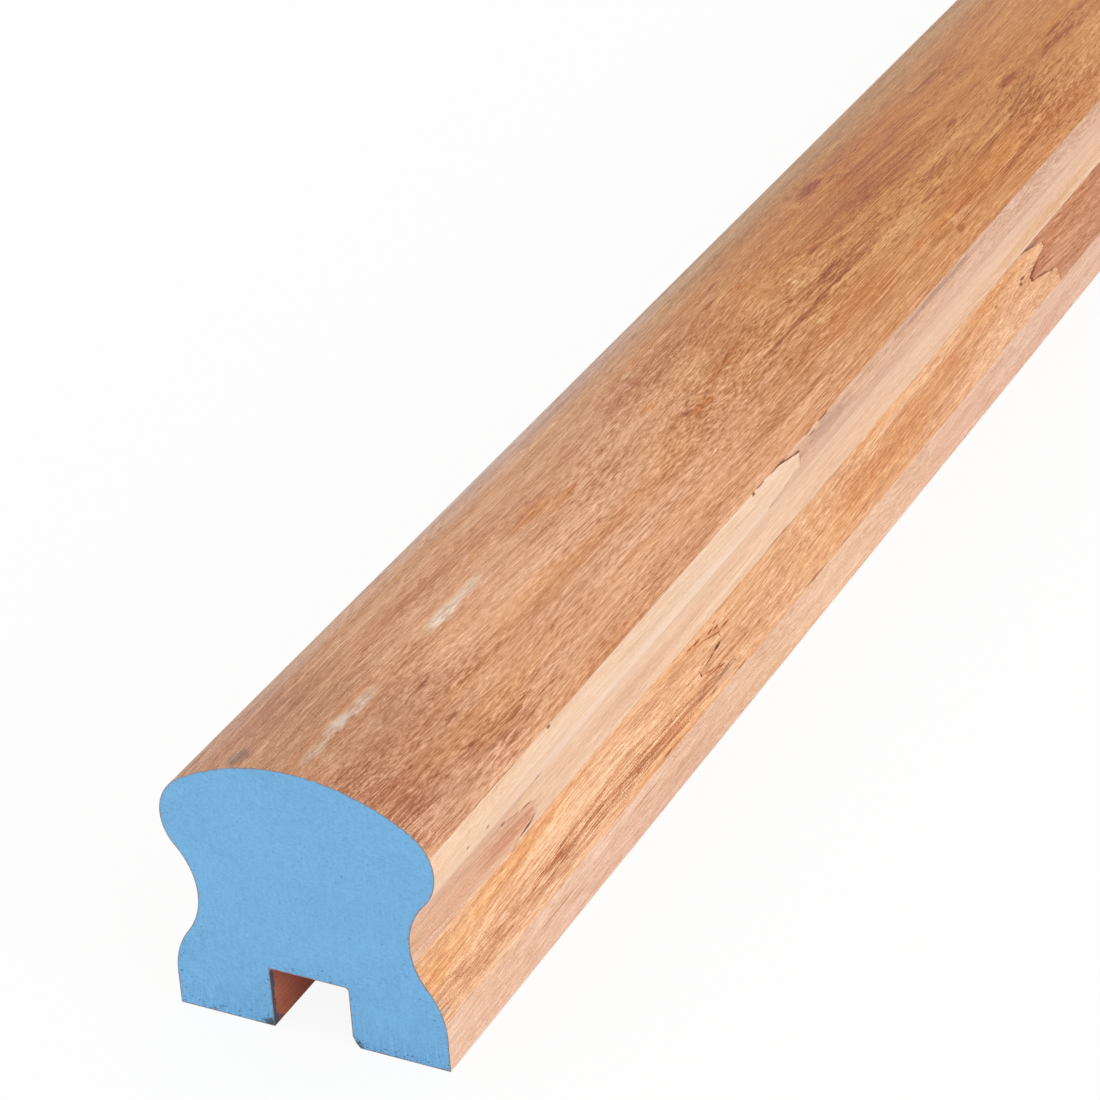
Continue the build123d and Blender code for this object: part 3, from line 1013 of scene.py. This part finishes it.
def add_floor(stage):
    """Pale floor just under the rail, which keeps a faint shadow."""
    bpy.ops.object.select_all(action="DESELECT")
    bpy.ops.mesh.primitive_plane_add(size=stage.floor_size, location=(0, 0, -FLOOR_DROP))
    floor = bpy.context.active_object
    floor.name = "studio_floor"
    bpy.ops.object.transform_apply(location=True, rotation=True, scale=True)
    shader = Shader("studio_floor_white")
    matt = shader.node("BsdfDiffuse")
    matt.inputs["Color"].default_value = (FLOOR_GREY, FLOOR_GREY, FLOOR_GREY, 1.0)
    white = shader.node("Emission")
    white.inputs["Strength"].default_value = 1.0
    blend = shader.node("MixShader")
    shader.plug(shader.math("MULTIPLY", seen_white(shader), stage.floor_white), blend.inputs[0])
    shader.plug(matt.outputs[0], blend.inputs[1])
    shader.plug(white.outputs[0], blend.inputs[2])
    shader.plug(blend.outputs[0], shader.node("OutputMaterial").inputs["Surface"])
    floor.data.materials.append(shader.material)


def add_light(context, stage):
    """Even white tent light, and one large soft lamp on the right."""
    world = bpy.data.worlds.new("studio_tent")
    world.use_nodes = True
    tree = world.node_tree
    tree.nodes.clear()
    path = tree.nodes.new("ShaderNodeLightPath")
    lit = tree.nodes.new("ShaderNodeBackground")
    lit.inputs["Strength"].default_value = stage.sky_strength
    lit.inputs["Color"].default_value = (1.0, 1.0, 1.0, 1.0)
    seen = tree.nodes.new("ShaderNodeBackground")
    seen.inputs["Strength"].default_value = 1.0
    seen.inputs["Color"].default_value = (1.0, 1.0, 1.0, 1.0)
    blend = tree.nodes.new("ShaderNodeMixShader")
    output = tree.nodes.new("ShaderNodeOutputWorld")
    tree.links.new(path.outputs["Is Camera Ray"], blend.inputs[0])
    tree.links.new(lit.outputs[0], blend.inputs[1])
    tree.links.new(seen.outputs[0], blend.inputs[2])
    tree.links.new(blend.outputs[0], output.inputs["Surface"])
    context.scene.world = world

    lamp_data = bpy.data.lights.new("side_softbox", "AREA")
    lamp_data.shape = "RECTANGLE"
    lamp_data.size = LAMP_LENGTH
    lamp_data.size_y = LAMP_HEIGHT
    lamp_data.energy = stage.lamp_power
    lamp = bpy.data.objects.new("side_softbox", lamp_data)
    lamp.location = LAMP_PLACE
    lamp.rotation_euler = (-Vector(LAMP_PLACE)).to_track_quat("-Z", "Y").to_euler()
    context.scene.collection.objects.link(lamp)


def add_camera(context, stage):
    """Camera at the photograph's viewing angle, near the sealed front end."""
    camera_data = bpy.data.cameras.new("rail_camera")
    camera_data.lens = stage.camera_lens
    camera_data.sensor_width = SENSOR_WIDTH
    camera = bpy.data.objects.new("rail_camera", camera_data)
    camera.location = stage.camera_place
    camera.rotation_euler = Euler(stage.camera_turn)
    context.scene.collection.objects.link(camera)
    context.scene.camera = camera


OPERATORS = (
    HANDRAIL_OT_crown_boards,
    HANDRAIL_OT_shoulder_boards,
    HANDRAIL_OT_waist_boards,
    HANDRAIL_OT_flank_boards,
    HANDRAIL_OT_foot_boards,
    HANDRAIL_OT_stage,
)


class HANDRAIL_PT_sidebar(bpy.types.Panel):
    """Steps and settings of the handrail"""

    bl_idname = "HANDRAIL_PT_sidebar"
    bl_label = "Handrail"
    bl_space_type = "VIEW_3D"
    bl_region_type = "UI"
    bl_category = "Handrail"

    def draw(self, context):
        for operator in OPERATORS:
            self.layout.operator(operator.bl_idname)
        for settings in (context.scene.handrail_finish, context.scene.handrail_stage):
            for name in settings.__annotations__:
                self.layout.prop(settings, name)


CLASSES = (HandrailFinish, HandrailStage, *OPERATORS, HANDRAIL_PT_sidebar)


def register():
    for item in CLASSES:
        bpy.utils.register_class(item)
    bpy.types.Scene.handrail_finish = PointerProperty(type=HandrailFinish)
    bpy.types.Scene.handrail_stage = PointerProperty(type=HandrailStage)


def unregister():
    del bpy.types.Scene.handrail_stage
    del bpy.types.Scene.handrail_finish
    for item in reversed(CLASSES):
        bpy.utils.unregister_class(item)


def main():
    register()
    bpy.ops.handrail.crown_boards()
    bpy.ops.handrail.shoulder_boards()
    bpy.ops.handrail.waist_boards()
    bpy.ops.handrail.flank_boards()
    bpy.ops.handrail.foot_boards()
    bpy.ops.handrail.stage()


if __name__ == "__main__":
    main()
